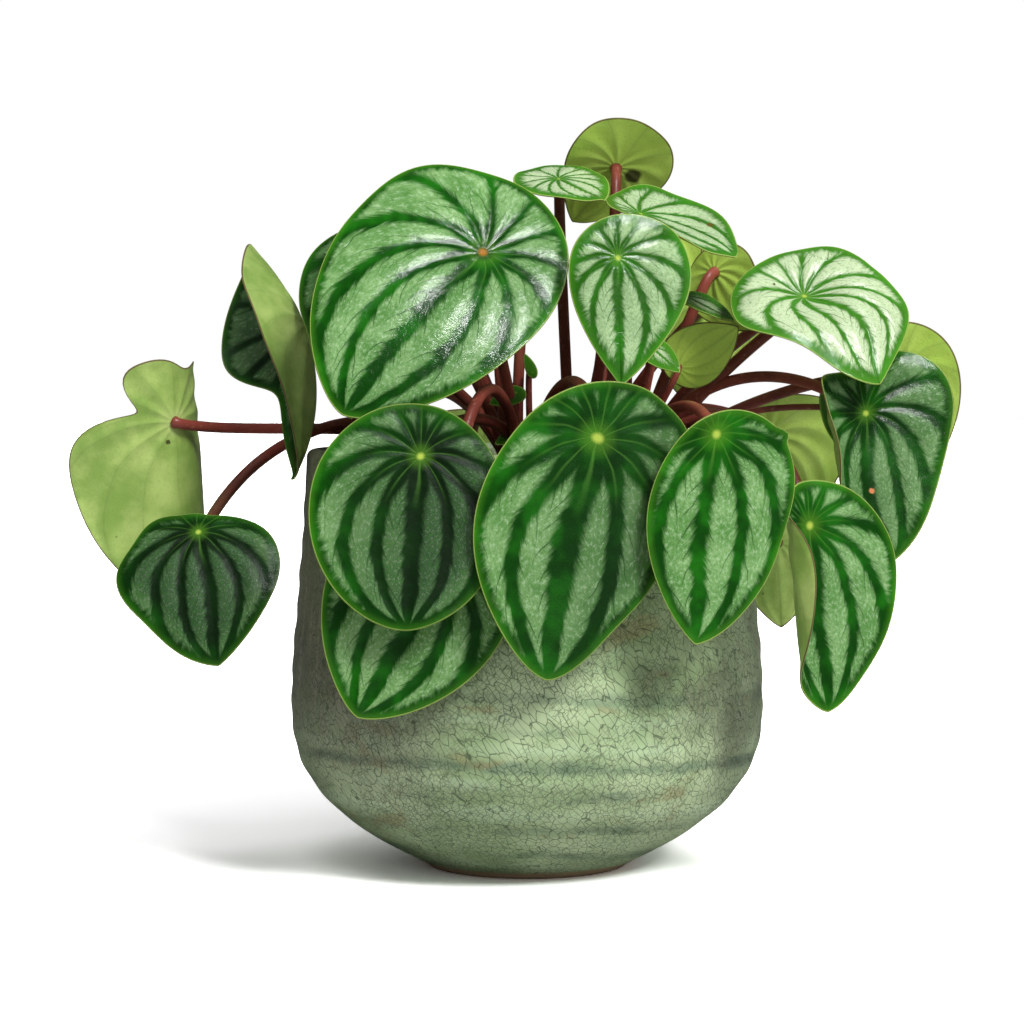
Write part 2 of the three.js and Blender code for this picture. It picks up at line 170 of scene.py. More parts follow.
class Sheet:
    """The node sheet of a material or a world, with short calls for the nodes used here."""

    def __init__(self, owner):
        owner.use_nodes = True
        self.owner = owner
        self.nodes = owner.node_tree.nodes
        self.links = owner.node_tree.links

    def feed(self, socket, value):
        """Links a value of the sheet to a socket, or sets the socket to a number or a colour."""
        if isinstance(value, Value):
            self.links.new(value.socket, socket)
        else:
            socket.default_value = value

    def add(self, kind, inputs, output=0, **settings):
        """A new node with its settings and its inputs, as the value at one of its outputs."""
        node = self.nodes.new(kind)
        for name, setting in settings.items():
            setattr(node, name, setting)
        for name, value in inputs.items():
            self.feed(node.inputs[name], value)
        return Value(self, node.outputs[output])

    def places(self):
        """Object coordinates, in metres."""
        return self.add("ShaderNodeTexCoord", {}, "Object")

    def stored(self, name):
        """A value that the mesh carries at its points."""
        return self.add("ShaderNodeAttribute", {}, "Fac", attribute_name=name)

    def calc(self, operation, *values):
        """One step of arithmetic."""
        return self.add("ShaderNodeMath", dict(enumerate(values)), operation=operation)

    def span(self, value, low, high, start=0.0, end=1.0):
        """Goes smoothly from start to end as the value goes from low to high."""
        limits = {"From Min": low, "From Max": high, "To Min": start, "To Max": end}
        return self.add("ShaderNodeMapRange", {"Value": value, **limits}, interpolation_type="SMOOTHSTEP")

    def vector(self, x, y, z):
        """Three values as one vector."""
        return self.add("ShaderNodeCombineXYZ", {0: x, 1: y, 2: z})

    def parts(self, vector):
        """A vector's three values."""
        node = self.nodes.new("ShaderNodeSeparateXYZ")
        self.feed(node.inputs[0], vector)
        return [Value(self, socket) for socket in node.outputs]

    def move(self, vector, other):
        """Two vectors added."""
        return self.add("ShaderNodeVectorMath", {0: vector, 1: other})

    def stretch(self, vector, scale, place=(0, 0, 0)):
        """A vector scaled and moved."""
        return self.add("ShaderNodeMapping", {"Vector": vector, "Scale": scale, "Location": place})

    def twist(self, vector, angle):
        """A vector turned about the upright axis by an angle that may vary."""
        return self.add("ShaderNodeVectorRotate", {"Vector": vector, "Angle": angle}, rotation_type="Z_AXIS")

    def noise(self, vector, scale, detail=2.0, rough=0.5, output=0):
        """Soft noise from 0 to 1 at so many bumps a unit."""
        return self.add("ShaderNodeTexNoise", {
            "Vector": vector, "Scale": scale, "Detail": detail, "Roughness": rough}, output)

    def cells(self, vector, scale, feature):
        """A net of cells: the distance to the nearest line or point of it."""
        place = {"Vector": vector, "Scale": scale}
        return self.add("ShaderNodeTexVoronoi", place, "Distance", feature=feature)

    def chance(self, vector):
        """A random number from 0 to 1 for each vector."""
        return self.add("ShaderNodeTexWhiteNoise", {"Vector": vector}, "Value")

    def paint(self, amount, under, over):
        """A colour laid over another by an amount from 0 to 1."""
        return self.add("ShaderNodeMix", {"Factor": amount, 6: under, 7: over}, 2, data_type="RGBA")

    def relief(self, height, depth):
        """Small relief of that depth in metres."""
        return self.add("ShaderNodeBump", {"Distance": depth, "Height": height})

    def finish(self, colour, roughness, specular, normal=None):
        """Sets the surface's colour, gloss and relief, and gives back the material."""
        shader = self.nodes["Principled BSDF"]
        self.feed(shader.inputs["Base Color"], colour)
        self.feed(shader.inputs["Roughness"], roughness)
        self.feed(shader.inputs["Specular IOR Level"], specular)
        if normal is not None:
            self.feed(shader.inputs["Normal"], normal)
        return self.owner


def tint(red, green, blue):
    """A colour as it looks on a screen, from 0 to 255, as the linear colour that a shader takes."""
    part = np.array([red, green, blue]) / 255
    linear = np.where(part <= 0.04045, part / 12.92, ((part + 0.055) / 1.055) ** 2.4)
    return (*[float(value) for value in linear], 1.0)


def crack_net(sheet, here, lean, across, long, width, cut):
    """One family of cracks: the edges of tall narrow cells that lean as they climb round the pot.
    The lines come and go where the soft noise falls below the cut."""
    height = sheet.parts(here)[2]
    leaning = sheet.twist(here, height * lean)
    drift = sheet.stretch(sheet.noise(leaning, 130, 2, 0.5, 1), (0.0022, 0.0022, 0.0022))
    tall = sheet.stretch(sheet.move(leaning, drift), (1, 1, across / long), (lean * 0.1, 0.3, 0.2))
    line = sheet.span(sheet.cells(tall, 1 / across, "DISTANCE_TO_EDGE"), 0.0, width / across, 1, 0)
    shown = sheet.noise(sheet.stretch(leaning, (1, 1, 0.6), (0.7, lean * 0.2, 0.1)), 55, 2)
    return line * sheet.span(shown, cut, cut + 0.16)


def glaze():
    """Sage green glaze, dark teal where it pooled in the grooves and pale on the crests, ochre in
    spots and grey-brown in smoky patches, which are painted heavier on the left and right flanks as
    shade, under a net of long fine dark cracks."""
    sheet = Sheet(bpy.data.materials.new("crackle glaze"))
    here = sheet.places()
    across, _, height = sheet.parts(here)
    cloud = sheet.noise(here, 22, 4, 0.6)
    slow = sheet.noise(sheet.stretch(here, (1, 1, 1), (3.1, 0.4, 0.9)), 10, 3)
    colour = sheet.paint(sheet.span(cloud, 0.36, 0.66), tint(140, 163, 118), tint(176, 194, 152))
    colour = sheet.paint(sheet.span(slow, 0.5, 0.66, 0, 0.5), colour, tint(140, 172, 142))
    banded = sheet.noise(sheet.stretch(here, (0.25, 0.25, 1), (0, 0.7, 0)), 90, 4, 0.6)
    pooled = sheet.stored("ridge") + (banded - 0.5) * 4.0
    low = sheet.span(height, 0.09, 0.05, 0.25, 1)
    colour = sheet.paint(sheet.span(pooled, 0.0, 1.4, 0, 0.6) * low, colour, tint(180, 202, 164))
    colour = sheet.paint(sheet.span(pooled, -0.1, -1.4, 0, 0.75) * low, colour, tint(72, 100, 82))
    ochre = sheet.noise(sheet.stretch(here, (1, 1, 2), (5.2, 1.1, 0)), 38, 3, 0.6)
    colour = sheet.paint(sheet.span(ochre, 0.58, 0.72, 0, 0.5), colour, tint(148, 132, 88))
    smoke = sheet.noise(sheet.stretch(here, (1, 1, 0.7), (1.7, 6.2, 2.4)), 13, 5, 0.65)
    # Painted shade: the smoky grey-brown grows towards the left flank and a little towards the right.
    flank_shade = sheet.span(across, 0.045, 0.085, 0, 0.16) + sheet.span(across, 0.0, -0.085, 0, 0.4)
    smoke_and_flank_shade = sheet.span(smoke + flank_shade, 0.56, 0.8, 0, 0.88) * sheet.span(height, 0.02, 0.085, 0.1, 1)
    colour = sheet.paint(smoke_and_flank_shade, colour, tint(78, 74, 62))
    streak = sheet.noise(sheet.stretch(here, (1, 1, 0.12)), 260, 2, 0.6)
    colour = sheet.paint(sheet.span(streak, 0.5, 0.7, 0, 0.6) * smoke_and_flank_shade, colour, tint(134, 130, 112))
    climbing = crack_net(sheet, here, 7.0, 0.0028, 0.0048, 0.00017, 0.22)
    falling = crack_net(sheet, here, -9.0, 0.0016, 0.0028, 0.00014, 0.34)
    crack = sheet.calc("MAXIMUM", climbing, falling * 0.7)
    colour = sheet.paint(crack * 0.8, colour, tint(46, 60, 40))
    grain = sheet.noise(here, 900, 2, 0.6)
    colour = sheet.paint(sheet.span(grain, 0.6, 0.75, 0, 0.25), colour, tint(206, 216, 184))
    foot = sheet.span(height, 0.0034, 0.0022)
    colour = sheet.paint(foot, colour, tint(176, 152, 120))
    rough = sheet.span(cloud, 0.3, 0.7, 0.34, 0.46) + foot * 0.3
    waves = cloud + (grain - crack) * 0.1
    return sheet.finish(colour, rough, 0.4, sheet.relief(waves, 0.0008))


pot_profile = np.vstack([
    POT_FOOT, smooth_profile(POT_OUTSIDE, 110), rounded_rim(), smooth_profile(POT_INSIDE, 70)])
pot_points = turned_points(pot_profile, POT_TURNS, pot_wobble)
pot = mesh_piece("glazed_pot", pot_points, ring_faces(pot_points, POT_TURNS), [glaze()])
pot_ridge = throwing_ridges(np.arctan2(pot_points[:, 1], pot_points[:, 0]), pot_points[:, 2])
pot.data.attributes.new("ridge", "FLOAT", "POINT").data.foreach_set("value", pot_ridge)
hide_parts("pot")
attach(pot, "root")


# The soil
# A dark peat mix with crumbs and bits of bark, filled to a finger's breadth under the rim. It is one
# lumpy bed that follows the pot's inside down to its floor; the crowns stand in it.
SOIL_TOP = 145.0
SOIL_BED = SOIL_TOP - 2.2
SOIL_SHOULDER = SOIL_TOP - 9.0
SOIL_BOTTOM = POT_FLOOR + 0.4
SOIL_RADIUS = 76.6
SOIL_GAP = 1.2
SOIL_RINGS = 56
SOIL_TURNS = 160
CRUMBS = 900


def lumps(x, y, size, seed):
    """A smooth random height from -1 to 1: sine waves of about that size in a dozen directions."""
    draw = np.random.default_rng(seed)
    total = 0 * x
    for turn, phase, stretch in zip(draw.uniform(0, np.pi, 12), draw.uniform(0, 6.28, 12),
                                    draw.uniform(0.7, 1.5, 12)):
        total = total + np.sin((x * np.cos(turn) + y * np.sin(turn)) * 6.28 / size * stretch + phase)
    return total / 5


def bed_height(x, y):
    """The height of the soil's lumpy surface."""
    return SOIL_BED + 1.1 * lumps(x, y, 17, 3) + 0.7 * lumps(x, y, 6, 5)


def soil_body():
    """Points of the soil: up the pot's inside from its floor, then in over the lumpy surface."""
    side = smooth_profile([(SOIL_RADIUS, SOIL_SHOULDER)] + [
        (radius - SOIL_GAP, max(height, SOIL_BOTTOM)) for radius, height in POT_INSIDE[2:-1]], 36)
    surface = [(radius, SOIL_BED) for radius in SOIL_RADIUS * np.linspace(1, 0.02, SOIL_RINGS)]
    profile = np.vstack([[(0, side[-1, 1])], side[::-1], surface, [(0, SOIL_BED)]])
    points = turned_points(profile, SOIL_TURNS, lambda angle, height: 0 * angle)
    bed = points[-1 - SOIL_RINGS * SOIL_TURNS:-1]
    bed[:, 2] = bed_height(bed[:, 0], bed[:, 1])
    return points


def crumb_cloud(count):
    """Small eight-sided crumbs strewn over the bed: each is an octahedron with its corners drawn out
    at random, half sunk in the soil."""
    chance = np.random.default_rng(11)
    corners = np.array([[1, 0, 0], [0, 1, 0], [-1, 0, 0], [0, -1, 0], [0, 0, 1], [0, 0, -1]], float)
    triangles = np.array([[0, 1, 4], [1, 2, 4], [2, 3, 4], [3, 0, 4], [1, 0, 5], [2, 1, 5], [3, 2, 5],
                          [0, 3, 5]])
    size = chance.uniform(0.6, 2.1, (count, 1, 1)) * chance.uniform(0.6, 1.3, (count, 6, 1))
    reach = SOIL_RADIUS * 0.97 * np.sqrt(chance.uniform(0, 1, count))
    turn = chance.uniform(0, 2 * np.pi, count)
    x, y = reach * np.cos(turn), reach * np.sin(turn)
    shape = corners[None] * size + chance.uniform(-0.2, 0.2, (count, 6, 3))
    points = shape + np.stack([x, y, bed_height(x, y)], axis=1)[:, None, :]
    faces = triangles[None] + 6 * np.arange(count)[:, None, None]
    return points.reshape(-1, 3), faces.reshape(-1, 3)


def peat():
    """Dark brown crumbs with paler fibres and a few tan flecks."""
    sheet = Sheet(bpy.data.materials.new("potting soil"))
    here = sheet.places()
    grain = sheet.noise(here, 420, 4, 0.65)
    colour = sheet.paint(sheet.span(grain, 0.35, 0.7), tint(30, 22, 17), tint(78, 60, 46))
    fleck = sheet.span(sheet.noise(here, 260, 1), 0.7, 0.76)
    colour = sheet.paint(fleck, colour, tint(150, 128, 98))
    return sheet.finish(colour, 0.92, 0.25, sheet.relief(grain, 0.0012))


soil_points = soil_body()
crumb_points, crumb_faces = crumb_cloud(CRUMBS)
soil_faces = ring_faces(soil_points, SOIL_TURNS, 1) + (crumb_faces + len(soil_points)).tolist()
soil = mesh_piece("potting_soil", np.vstack([soil_points, crumb_points]), soil_faces, [peat()])
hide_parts("soil")
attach(soil, "root")


# The leaves
# Fleshy shield-shaped blades, each held by its stem on the underside a third of the way in. The upper
# side is silver with dark green bands over the veins, which fan out from the stem point and meet at
# the tip; the underside is pale green with a thin maroon rim. Each blade is one solid, and a few
# sprouts grow among the stems.
# Columns: stem point, tip, way the upper side looks, width laid flat, then what bends the blade,
# with its tones, its painted shade and how that shade slopes across it, its crown and its stem's course.
LEAVES = {
    "upper_left_large": ((-16, -50, 231), (-65, -75, 172), (-0.15, -1, 0.45), 87, dict(
        base=0.42, cup=-12, bend=12, funnel=3, q=0.68, lean=6, bumps=[(-120, 0.12, 32)], rust=1,
        patch=0.1, shade=0.1, dusk=0.25, crown="left")),
    "upper_left_rear": ((-46, -24, 226), (-64, -50, 171), (-0.8, -0.8, 0.2), 80, dict(
        base=0.5, cup=10, bend=10, skew=-0.2, bumps=[(-50, -0.1, 22), (-118, 0.26, 28)], shade=0.95,
        crown="left")),
    "left_folded": ((-86, 12, 205), (-88, -19, 147), (-1, -0.12, 0.12), 76, dict(
        base=0.58, cup=30, cup2=5, fold=48, fold_radius=8, bend=-22, lean=-2, skew=-0.1, shade=0.9,
        bumps=[(-48, -0.3, 26)], crown="left", stem=((-10, 8, 185), (-66, 8, 206)))),
    "far_left_cupped": ((-134, -5, 169), (-131, 12, 95), (-0.64, 0.77, 0.1), 84, dict(
        base=0.34, cup=40, cup2=8, fold=38, fold_radius=10, q=0.75,
        bumps=[(111, -0.55, 19), (-158, -0.22, 22)], shade=0.5, dusk=-0.6, crown="left",
        stem=((-25, 14, 178), (-104, 54, 160)))),
    "far_left_low": ((-121, -42, 129), (-112, -62, 82), (-0.2, -0.75, 0.6), 62, dict(
        patch=0.4, base=0.2, cup=-10, bend=20, q=0.8, lean=5, hook=2, shade=1,
        bumps=[(-40, -0.06, 20), (118, -0.22, 30), (-138, 0.26, 26)],
        crown="left", stem=((-30, 26, 180), (-112, 52, 188)))),
    "front_left": ((-38, -92, 159), (-42, -107, 99), (-0.05, -1, 0.2), 69, dict(
        base=0.3, q=0.55, lean=4, crown="left", shade=0.95, dusk=0.6, patch=0.5,
        stem=((0, -10, 182), (-37, -68, 177)))),
    "front_left_low": ((-28, -92, 121), (-60, -92, 67), (-0.1, -1, 0), 66, dict(
        base=0.32, q=0.7, lean=4, crown="left", patch=0.5, stem=((-8, -50, 208), (-27, -100, 194)))),
    "front_centre": ((24, -98, 165), (6, -109, 81), (0.2, -1, 0.15), 71, dict(
        base=0.25, cup=-8, q=0.66, lean=-6, skew=-0.13, hook=-3, crown="left", shade=0.4, dusk=0.45,
        patch=0.5, bumps=[(16, -0.07, 12), (121, 0.09, 22)], stem=((6, -20, 200), (28, -60, 195)))),
    "front_right": ((65, -100, 167), (58, -105, 94), (0.2, -1, 0.15), 52, dict(
        base=0.13, cup=-15, q=0.75, lean=-8, hook=-2, bumps=[(110, 0.2, 8)], patch=0.2, crown="right",
        stem=((48, -20, 185), (66, -74, 182)))),
    "upper_centre": ((32, -66, 229), (33, -80, 183), (0, -1, 0.5), 44, dict(
        base=0.35, cup=-12, q=1, lean=-6, crown="right", youth=0.35)),
    "top_left": ((12, -14, 260), (28, -36, 251), (0.15, -0.6, 0.8), 33, dict(
        base=0.6, crown="back", youth=0.8)),
    "top_upright": ((34, 6, 266), (18, 22, 246), (-0.1, 0.9, 0.5), 40, dict(
        base=0.75, youth=0.8, crown="back")),
    "top_right": ((42, -32, 246), (76, -45, 230), (0.1, -0.26, 1), 44, dict(
        base=0.42, cup=26, skew=0.1, q=0.75, lean=-10, bumps=[(92, -0.26, 34)], crown="right",
        youth=0.6)),
    "top_rear": ((52, 26, 244), (60, 20, 214), (0.1, 0.9, 0.5), 30, dict(base=0.3, youth=0.9, crown="back")),
    "right_rear_small": ((72, 6, 226), (86, -2, 204), (0.2, 0.9, 0.5), 32, dict(
        base=0.35, youth=0.9, crown="right", stem=((44, 6, 175), (64, 2, 206)))),
    "upper_right": ((103, -25, 216), (126, -45, 181), (0.15, -0.9, 0.65), 64, dict(
        base=0.42, funnel=7, bend=15, cup=-15, hook=8, crown="right", youth=0.85,
        bumps=[(168, 0.07, 25), (62, -0.13, 32)],
        stem=((55, 0, 172), (88, -10, 204)))),
    "right_large": ((125, -36, 173), (134, -50, 119), (0.1, -0.95, 0.2), 70, dict(
        base=0.42, cup=110, cup2=15, lean=-12, skew=-0.2, q=0.9, hook=-5, crown="right", shade=0.45,
        patch=0.4, bumps=[(88, -0.24, 50), (-130, -0.25, 28)], stem=((50, 0, 188), (100, -10, 205)))),
    "right_low": ((101, -70, 133), (107, -76, 67), (0.35, -0.9, 0.1), 66, dict(
        base=0.25, cup=130, cup2=0, q=0.75, bumps=[(-124, -0.36, 34)], crown="right", shade=0.1,
        stem=((60, -10, 195), (108, -46, 170)))),
    "far_right": ((144, 6, 188), (157, 11, 152), (0.2, 0.9, 0.2), 42, dict(
        base=0.5, youth=0.8, crown="right", stem=((60, 2, 172), (115, 5, 192)))),
    "right_over_rim": ((97, 50, 162), (112, 56, 128), (0.1, 1, 0.2), 62, dict(
        base=0.4, youth=0.5, crown="back", stem=((30, 30, 180), (85, 38, 185)))),
    "right_hanging": ((99, 36, 121), (101, 38, 87), (0.1, 1, 0), 36, dict(
        base=0.4, crown="right", stem=((60, 14, 195), (104, 24, 178)))),
    "centre_rear": ((70, 30, 214), (60, 30, 179), (0.1, 1, 0.1), 48, dict(
        base=0.6, youth=0.5, crown="back")),
    "young_pointed": ((57, -14, 190), (79, -19, 205), (0, 1, 0.3), 24, dict(
        base=0.2, youth=1, crown="right", stem=((44, -2, 165), (52, -18, 180)))),
    "young_small": ((46, -30, 197), (56, -38, 188), (-0.1, -0.7, 0.8), 12, dict(
        base=0.4, youth=1, crown="right", stem=((42, -8, 170), (44, -22, 188)))),
    "young_folded": ((59, -20, 216), (77, -26, 207), (0.1, -0.5, 1), 14, dict(
        base=0.1, fold=20, youth=0.8, shade=0.7, crown="right", stem=((46, -6, 170), (42, -31, 202)))),
    "right_inner": ((119, -8, 176), (117, -16, 160), (0.3, -0.8, 0.3), 18, dict(
        base=0.6, youth=0.8, shade=0.8, crown="right", stem=((60, -2, 176), (100, -5, 178)))),
    "back_left": ((-24, 96, 152), (-30, 106, 84), (-0.1, 1, 0.2), 74, dict(
        base=0.3, cup=-10, crown="left", shade=0.3, stem=((-8, 45, 195), (-22, 84, 188)))),
    "back_right": ((42, 92, 154), (46, 103, 82), (0.3, 1, 0.15), 70, dict(
        base=0.3, cup=-10, crown="back", shade=0.3, stem=((22, 50, 190), (38, 80, 190)))),
    "back_far_left": ((-60, 76, 150), (-68, 86, 92), (-0.7, 0.8, 0.1), 54, dict(
        base=0.3, cup=-10, crown="left", shade=0.3, stem=((-25, 30, 196), (-58, 66, 196)))),
    "back_upper_left": ((-36, 45, 226), (-42, 78, 188), (-0.3, 0.8, 0.7), 70, dict(
        base=0.4, cup=-15, crown="left")),
    "back_upper": ((42, 62, 230), (46, 86, 200), (0.1, 0.8, 0.7), 48, dict(
        base=0.4, cup=-10, crown="back", youth=0.3)),
    "back_upper_right": ((112, 14, 222), (130, 34, 198), (0.6, 0.5, 0.7), 46, dict(
        base=0.4, crown="right", youth=0.3, stem=((50, 10, 185), (98, 6, 214)))),
}
SPROUTS = {
    "low": ((-4, -14, 180), (-14, -18, 176), (-0.1, -0.8, 0.6), 9, dict(youth=0.5, crown="left")),
    "lower": ((-3, -16, 165), (-12, -22, 161), (-0.1, -0.7, 0.7), 8, dict(youth=0.9, crown="left")),
    "thin": ((2, -10, 188), (-1, -12, 195), (0, -1, 0.2), 4, dict(youth=1, crown="left")),
    "inner": ((-2, -2, 226), (-6, -6, 210), (-0.1, -1, 0.3), 26, dict(youth=0.3, crown="left")),
    "inner_left": ((-14, 8, 216), (-18, 6, 198), (-0.2, -1, 0.2), 26, dict(youth=0.3, crown="left")),
    "inner_right": ((31, -20, 216), (33, -28, 201), (0.1, -1, 0.3), 22, dict(youth=0.6, crown="right")),
    "inner_high": ((34, -12, 224), (38, -22, 210), (0.2, -1, 0.4), 20, dict(youth=0.8, crown="back")),
}
FLAT_BLADE = dict(base=0.3, cup=0, cup2=None, fold=0, fold_radius=4, bend=0, funnel=0, p=0.5, q=0.85,
                  lean=0, skew=0, hook=0, bumps=[], shade=0.0, dusk=0.0, youth=0.0, patch=0.2, rust=0.0,
                  stem=None)
CENTRE_THICKNESS = 1.0
MARGIN_THICKNESS = 0.55
VEINS_A_SIDE = 6
VEIN_SPREAD = 1.27
QUILTING = 0.7
FULL_WIDTH = 60
ROLL_STEPS = 16
DEEP_SHADE = 0.95


def unit(vector):
    """A vector of length one."""
    return np.asarray(vector, float) / np.linalg.norm(vector)


def blade_axes(stem_point, tip, face):
    """The blade's own axes: along the midrib, across it, and out of the upper side."""
    along = unit(np.subtract(tip, stem_point))
    out = np.asarray(face, float)
    out = unit(out - along * (out @ along))
    return along, np.cross(out, along), out


def outline(form, width, length, psi):
    """The flat outline round the stem point at the angle psi, 0 at the tip. The half width is
    W/2 (u/um)^p ((1-u)/(1-um))^q, where u goes from 0 at the base to 1 at the tip."""
    full = length * (1 + form["base"])
    widest = form["p"] / (form["p"] + form["q"])
    u = (1 + np.cos(psi)) / 2
    half = width / 2 * (u / widest) ** form["p"] * ((1 - u) / (1 - widest)) ** form["q"]
    side = np.sign(np.round(np.sin(psi), 9))
    x = u * full - form["base"] * length
    y = side * half * (1 + form["skew"] * side)
    polar = np.degrees(np.arctan2(y, x))
    swell = 1.0
    for angle, amount, spread in form["bumps"]:
        away = (polar - angle + 180) % 360 - 180
        swell = swell * (1 + amount * np.exp(-(away / spread) ** 2))
    lean = math.radians(form["lean"])
    x, y = x * swell - length, y * swell
    return length + x * math.cos(lean) - y * math.sin(lean), x * math.sin(lean) + y * math.cos(lean)


def roll_blade(form, width, length, x, y):
    """Where points of the flat blade go: rolled crosswise at constant arc length by a fold at the
    midrib and an even cup, drawn out in a funnel at the stem, then bent lengthwise into an arc.
    Gives the distance along, across and out of the blade's own axes, one row a point."""
    t = np.clip(x / length, 0, 1)
    y = y + form["hook"] * 16 * t ** 2 * (1 - t) ** 2
    cup2 = form["cup"] if form["cup2"] is None else form["cup2"]
    cup = np.radians(np.where(y > 0, cup2, form["cup"]))
    arc = np.abs(y)[..., None] * (np.arange(ROLL_STEPS) + 0.5) / ROLL_STEPS
    slope = math.radians(form["fold"]) * (1 - np.exp(-arc / form["fold_radius"]))
    slope = slope + cup[..., None] * arc / (width / 2)
    across = np.sign(y) * np.cos(slope).mean(axis=-1) * np.abs(y)
    lift = np.sin(slope).mean(axis=-1) * np.abs(y)
    lift = lift + form["funnel"] * (1 - np.exp(-(x ** 2 + y ** 2) / (0.22 * width) ** 2))
    bend = math.radians(form["bend"])
    if abs(bend) < 1e-3:
        return np.stack([x, across, lift], axis=1)
    angle = bend * (1 - 2 * x / length)
    radius = length / (2 * bend)
    along = radius * (math.sin(bend) - np.sin(angle)) - lift * np.sin(angle)
    out = radius * (np.cos(angle) - math.cos(bend)) + lift * np.cos(angle)
    return np.stack([along, across, out], axis=1)


def vein_field(x, y):
    """Which vein a place on the blade belongs to, with the midrib's length as 1. Each vein is a
    circle's arc from the stem point to the tip, numbered by the angle at which it leaves."""
    leaving = np.arctan2(np.abs(y), x - x ** 2 - y ** 2) / np.pi
    return VEINS_A_SIDE * leaving ** VEIN_SPREAD


def quilted_middle(form, width, length, x, y, edge, wave):
    """The middle layer of the blade and its normals: the rolled blade, waved near the margin, with
    the tissue swollen between the veins."""
    vein = vein_field(x / length, y / length)
    swell = np.sin(np.pi * np.abs(vein - np.round(vein))) ** 1.5
    swell = swell * (1 - np.exp(-(x ** 2 + y ** 2) / (0.14 * length) ** 2))
    swell = swell * (1 - np.exp(-(edge / 3.0) ** 2))
    places = roll_blade(form, width, length, x, y)
    shift = 0.5 * width / FULL_WIDTH
    normal = np.cross(roll_blade(form, width, length, x + shift, y) - places,
                      roll_blade(form, width, length, x, y + shift) - places)
    normal = normal / np.linalg.norm(normal, axis=1, keepdims=True)
    return places + normal * (wave + QUILTING * min(width / FULL_WIDTH, 1) * swell)[:, None], normal


def blade_solid(name, stem_point, tip, face, width, options, rings, sides):
    """A blade as one closed solid: rings of points round the stem point, outwards over the underside,
    round the margin, and inwards over the upper side. The margin is thinner than the middle."""
    form = {**FLAT_BLADE, **options}
    chord = np.linalg.norm(np.subtract(tip, stem_point))
    bend = math.radians(form["bend"])
    length = chord * bend / math.sin(bend) if abs(bend) > 1e-3 else chord
    psi = np.arange(sides) * 2 * np.pi / sides
    rho = np.sin(np.linspace(0, np.pi / 2, rings + 1))[1:, None] ** 0.8
    rim_x, rim_y = outline(form, width, length, psi)
    phases = np.random.default_rng(sum(map(ord, name))).uniform(0, 2 * np.pi, 3)
    ripple = sum(np.sin(k * psi + phase) for k, phase in zip((3, 5, 8), phases))
    x, y = np.append(0, rho * rim_x), np.append(0, rho * rim_y)
    part = np.append(0, rho + 0 * psi)
    wave = np.append(0, rho ** 4 * ripple) * min(width, FULL_WIDTH) * 0.006
    edge = np.hypot(x[:, None] - rim_x, y[:, None] - rim_y).min(axis=1)
    middle, normal = quilted_middle(form, width, length, x, y, edge, wave)
    half = (MARGIN_THICKNESS + (CENTRE_THICKNESS - MARGIN_THICKNESS) * (1 - part ** 2)) / 2
    rim_out = middle[-sides:] - middle[-2 * sides:-sides]
    rim_out = rim_out / np.linalg.norm(rim_out, axis=1, keepdims=True) * MARGIN_THICKNESS * 0.45
    count = len(middle)
    ring = np.arange(1, count).reshape(rings, sides)
    order = np.concatenate([[0], ring.ravel(), ring[-1], ring[::-1].ravel(), [0]])
    layer = np.repeat([-1, 0, 1], [count, sides, count])
    local = middle[order] + normal[order] * (half[order] * layer)[:, None]
    local[count:count + sides] += rim_out
    points = np.asarray(stem_point, float) + local @ np.array(blade_axes(stem_point, tip, face))
    underneath = np.repeat([1, 0, 1, 0], [rings * sides, rings * sides, sides, sides]).astype(np.int32)
    # Leaves painted in deep shade take the less glossy copy of the upper side.
    top = deep_shade_top if form["shade"] >= DEEP_SHADE else leaf_top
    piece = mesh_piece(name, points, ring_faces(points, sides, 1), [top, leaf_under], underneath)
    carry(piece.data, np.stack([x, y], axis=1)[order] / length, edge[order], form)
    return piece


def carry(mesh, flat, edges, form):
    """Stores on the mesh what the leaf finish reads: the flat place on the blade as a UV map, the
    distance to the margin in millimetres, the shade painted on the leaf, its youth, its green patch
    and its rust spot, which also paints shade into the hollow over the stem. The painted shade
    deepens from the left margin to the right one by the leaf's shade slope."""
    loops = np.empty(len(mesh.loops), dtype=np.int32)
    mesh.loops.foreach_get("vertex_index", loops)
    mesh.uv_layers.new(name="blade").data.foreach_set("uv", flat[loops].ravel())
    # Painted shade, darker towards one margin.
    deepening = form["dusk"] * flat[:, 1] / np.abs(flat[:, 1]).max()
    values = dict(edge=edges, shade=np.clip(form["shade"] + deepening, 0, 1), youth=form["youth"],
                  patch=form["patch"], rust=form["rust"])
    for name, value in values.items():
        stored = np.broadcast_to(np.float32(value), len(edges))
        mesh.attributes.new(name, "FLOAT", "POINT").data.foreach_set("value", stored)


def vein_nodes(sheet):
    """The vein numbers of vein_field again, on the sheet and wandering a little, with what else both
    faces of the blade use: off is the distance from the nearest vein, and far grows towards the tip."""
    flat_x, flat_y, _ = sheet.parts(sheet.add("ShaderNodeUVMap", {}, uv_map="blade"))
    here = sheet.places()
    drift = sheet.parts(sheet.noise(here, 55, 1, 0.5, 1))
    x = flat_x + (drift[0] - 0.5) * 0.05
    y = flat_y + (drift[1] - 0.5) * 0.05
    square = x * x + y * y
    vein = (sheet.calc("ARCTAN2", abs(y), x - square) / math.pi) ** VEIN_SPREAD * float(VEINS_A_SIDE)
    from_stem = sheet.calc("SQRT", square)
    to_tip = sheet.calc("SQRT", 1.0 - x * 2.0 + square)
    nearest = sheet.calc("ROUND", vein)
    return SimpleNamespace(
        here=here, flat_x=flat_x, flat_y=flat_y, side=sheet.calc("SIGN", flat_y), vein=vein,
        nearest=nearest, offset=vein - nearest, off=abs(vein - nearest), from_stem=from_stem,
        to_tip=to_tip, far=sheet.calc("LOGARITHM", from_stem / (to_tip + 0.001), math.e))


